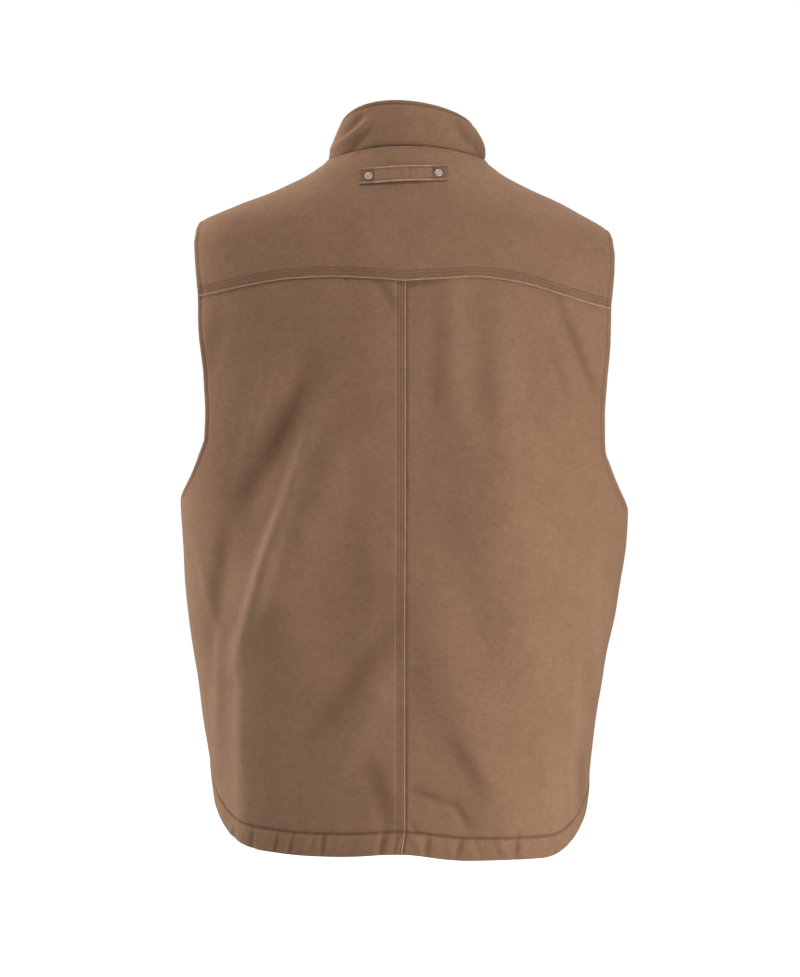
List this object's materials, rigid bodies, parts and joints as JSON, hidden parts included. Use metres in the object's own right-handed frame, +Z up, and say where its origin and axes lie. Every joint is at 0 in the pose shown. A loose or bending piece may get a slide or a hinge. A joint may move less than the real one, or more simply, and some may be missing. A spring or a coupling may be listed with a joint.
{
  "type": "canvas vest",
  "caption": "Brown canvas work vest with a stand collar, curved yoke, lapped centre back seam, drop tail and riveted hanger loop",
  "frame": {"origin": "Middle of the neck hole, on the shoulder line and level with the collar seam at the back.", "axes": "+Z up, +X to the wearer's right, +Y the way the wearer faces; the back of the vest faces -Y."},
  "size_m": [0.4469, 0.3093, 0.7426],
  "materials": {
    "canvas": "washed, matt",
    "canvas_light": "washed, matt, worn edges",
    "zip": "matt",
    "metal": "antiqued, satin"
  },
  "bodies": {
    "root": {"yoke": "canvas", "back_panel_left": "canvas", "back_panel_right": "canvas", "front_panel_left": "canvas", "front_panel_right": "canvas", "collar": "canvas", "front_zip": "zip", "hanger_loop": "canvas_light", "rivet_left": "metal", "rivet_right": "metal"}
  },
  "joints": []
}
